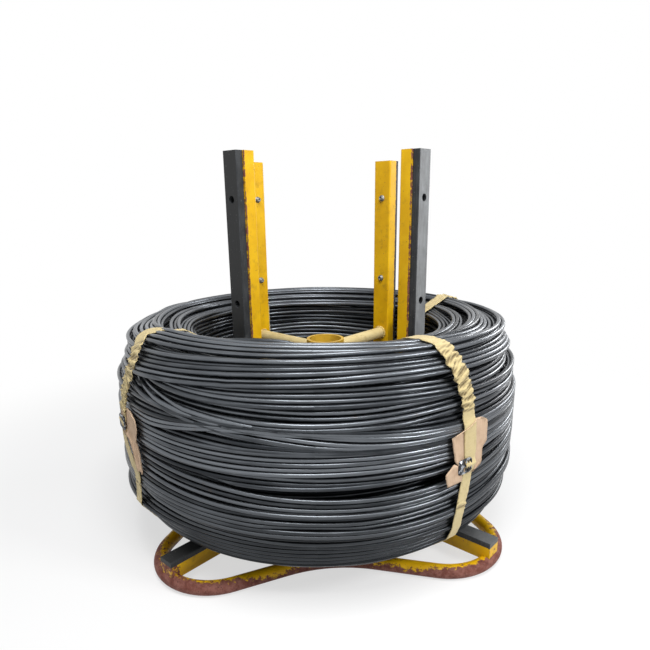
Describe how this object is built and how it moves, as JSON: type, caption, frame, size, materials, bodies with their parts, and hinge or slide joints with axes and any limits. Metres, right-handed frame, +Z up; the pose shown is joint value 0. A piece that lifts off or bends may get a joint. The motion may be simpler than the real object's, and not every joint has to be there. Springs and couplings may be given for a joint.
{
  "type": "coil of steel wire rod on a carrier",
  "caption": "Heavy coil of steel wire rod standing on a steel carrier with padded arms and uprights through its bore, held together by webbing straps with buckles.",
  "frame": {"origin": "on the floor, on the axis of the carrier's centre tube", "axes": "+Z up along the centre tube, the front towards -Y, the right towards +X"},
  "size_m": [1.3638, 1.3638, 1.23],
  "materials": {
    "wire_steel": "dark satin, phosphate-dull mill finish",
    "worn_yellow_paint": "satin yellow paint, scuffed to red primer and rust",
    "black_nylon": "scuffed matte black",
    "cream_webbing": "woven, creased",
    "brown_cardboard": "matte corrugated board",
    "dark_buckle": "black oxide, bright on its worn edges"
  },
  "bodies": {
    "root": {"wire_coil": "wire_steel", "base_loop": "worn_yellow_paint", "centre_tube": "worn_yellow_paint", "arm_front_left": "worn_yellow_paint", "upright_front_left": "worn_yellow_paint", "strut_front_left": "worn_yellow_paint", "arm_pad_front_left": "black_nylon", "upright_pad_front_left": "black_nylon", "arm_front_right": "worn_yellow_paint", "upright_front_right": "worn_yellow_paint", "strut_front_right": "worn_yellow_paint", "arm_pad_front_right": "black_nylon", "upright_pad_front_right": "black_nylon", "arm_back_right": "worn_yellow_paint", "upright_back_right": "worn_yellow_paint", "strut_back_right": "worn_yellow_paint", "arm_pad_back_right": "black_nylon", "upright_pad_back_right": "black_nylon", "arm_back_left": "worn_yellow_paint", "upright_back_left": "worn_yellow_paint", "strut_back_left": "worn_yellow_paint", "arm_pad_back_left": "black_nylon", "upright_pad_back_left": "black_nylon", "strap_left": "cream_webbing", "cardboard_left": "brown_cardboard", "buckle_left": "dark_buckle", "strap_front_right": "cream_webbing", "cardboard_front_right": "brown_cardboard", "buckle_front_right": "dark_buckle", "strap_back_right": "cream_webbing", "cardboard_back_right": "brown_cardboard", "buckle_back_right": "dark_buckle", "strap_back_left": "cream_webbing", "cardboard_back_left": "brown_cardboard", "buckle_back_left": "dark_buckle"}
  },
  "joints": []
}
